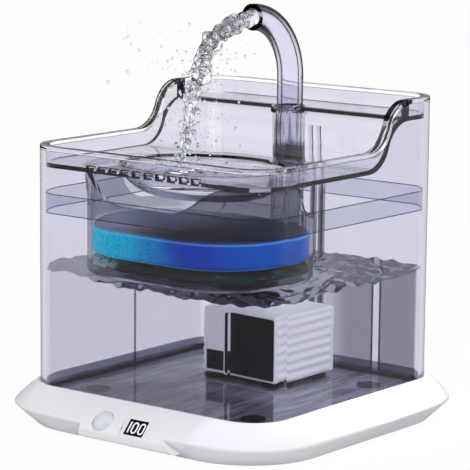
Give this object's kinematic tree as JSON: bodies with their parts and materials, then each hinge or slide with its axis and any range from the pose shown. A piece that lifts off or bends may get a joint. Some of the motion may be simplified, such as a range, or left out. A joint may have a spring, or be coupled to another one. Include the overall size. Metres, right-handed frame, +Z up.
{
  "type": "pet water fountain",
  "caption": "Square pet water fountain: clear tank on a white base, sloped clear tray with a bowl, gooseneck spout, filter basket and submersible pump.",
  "frame": {"origin": "middle of the plane that the feet stand on", "axes": "+Z up, -Y towards the side with the display, +X to the right seen from that side"},
  "size_m": [0.2, 0.2029, 0.2299],
  "materials": {
    "white_shell": "moulded, satin gloss",
    "foot_rubber": "soft, matt",
    "fixing_steel": "machined",
    "sensor_lens": "milky, polished",
    "circuit_board": "solder mask",
    "display_frame": "satin",
    "display_window": "polished dark filter",
    "battery_wrap": "shrink wrap",
    "button_cap": "satin",
    "clear_tank": "clear, polished",
    "pad_rubber": "soft, matt",
    "level_tint": "clear tint",
    "clear_tray": "clear, polished",
    "clear_spout": "clear, polished",
    "collar_silicone": "soft, translucent",
    "smoke_basket": "smoky clear, polished",
    "blue_foam": "open-cell foam",
    "filter_mesh": "fine mesh",
    "carbon_grains": "granules",
    "resin_beads": "beads",
    "pump_white": "moulded, satin",
    "pump_plate": "smooth, satin",
    "pump_rubber": "soft, matt",
    "core_steel": "laminated",
    "coil_resin": "potted winding",
    "magnet": "sintered",
    "rotor_white": "moulded",
    "bush_ceramic": "ground",
    "riser_white": "moulded, satin"
  },
  "bodies": {
    "base": {"base_housing": "white_shell", "base_deck": "white_shell", "base_bottom_cover": "white_shell", "base_screws": "fixing_steel", "rubber_feet": "foot_rubber", "sensor_lens": "sensor_lens", "sensor_module": "circuit_board", "display_bezel": "display_frame", "display_window": "display_window", "display_module": "circuit_board", "control_board": "circuit_board", "battery_pack": "battery_wrap", "charge_socket": "fixing_steel"},
    "power_button": {"power_button": "button_cap"},
    "tank": {"tank": "clear_tank", "tank_pads": "pad_rubber", "level_band": "level_tint", "pump_housing": "pump_white", "pump_label_plate": "pump_plate", "cord_gland": "pump_rubber", "motor_core": "core_steel", "motor_coil": "coil_resin", "chamber_cover": "pump_white", "rotor_shaft": "fixing_steel", "shaft_bushes": "bush_ceramic", "outlet_riser": "riser_white", "riser_seal": "pump_rubber", "suction_cups": "pump_rubber"},
    "rotor": {"impeller": "rotor_white", "rotor_magnet": "magnet"},
    "intake_cover": {"intake_cover": "pump_white"},
    "tray": {"tray": "clear_tray"},
    "spout_collar": {"spout_collar": "collar_silicone"},
    "spout": {"spout": "clear_spout"},
    "basket": {"filter_basket": "smoke_basket"},
    "media": {"media_pouch": "filter_mesh", "carbon_bed": "carbon_grains", "resin_bed": "resin_beads"},
    "sponge": {"filter_sponge": "blue_foam"}
  },
  "joints": [
    {"name": "button_press", "type": "slide", "parent": "base", "child": "power_button", "axis": [0, -1, 0], "range_m": [0, 0.0008], "stiffness_N_per_m": 500, "springref_m": -0.0004},
    {"name": "tank_lift", "type": "slide", "parent": "base", "child": "tank", "axis": [0, 0, 1], "range_m": [0, 0.02]},
    {"name": "rotor_spin", "type": "hinge", "parent": "tank", "child": "rotor", "pos_m": [0, 0.045, 0.0385], "axis": [0, 1, 0], "continuous": true},
    {"name": "intake_cover_pull", "type": "slide", "parent": "tank", "child": "intake_cover", "axis": [0, 1, 0], "range_m": [0, 0.012]},
    {"name": "tray_lift", "type": "slide", "parent": "tank", "child": "tray", "axis": [0, 0, 1], "range_m": [0, 0.1]},
    {"name": "collar_lift", "type": "slide", "parent": "tray", "child": "spout_collar", "axis": [0, 0, 1], "range_m": [0, 0.075]},
    {"name": "spout_turn", "type": "hinge", "parent": "spout_collar", "child": "spout", "pos_m": [0, 0.049, 0.17], "axis": [0, 0, 1], "range_deg": [-30, 30]},
    {"name": "basket_pull", "type": "slide", "parent": "tray", "child": "basket", "axis": [0, 0, -1], "range_m": [0, 0.018]},
    {"name": "media_lift", "type": "slide", "parent": "basket", "child": "media", "axis": [0, 0, 1], "range_m": [0, 0.005]},
    {"name": "sponge_lift", "type": "slide", "parent": "media", "child": "sponge", "axis": [0, 0, 1], "range_m": [0, 0.006]}
  ]
}
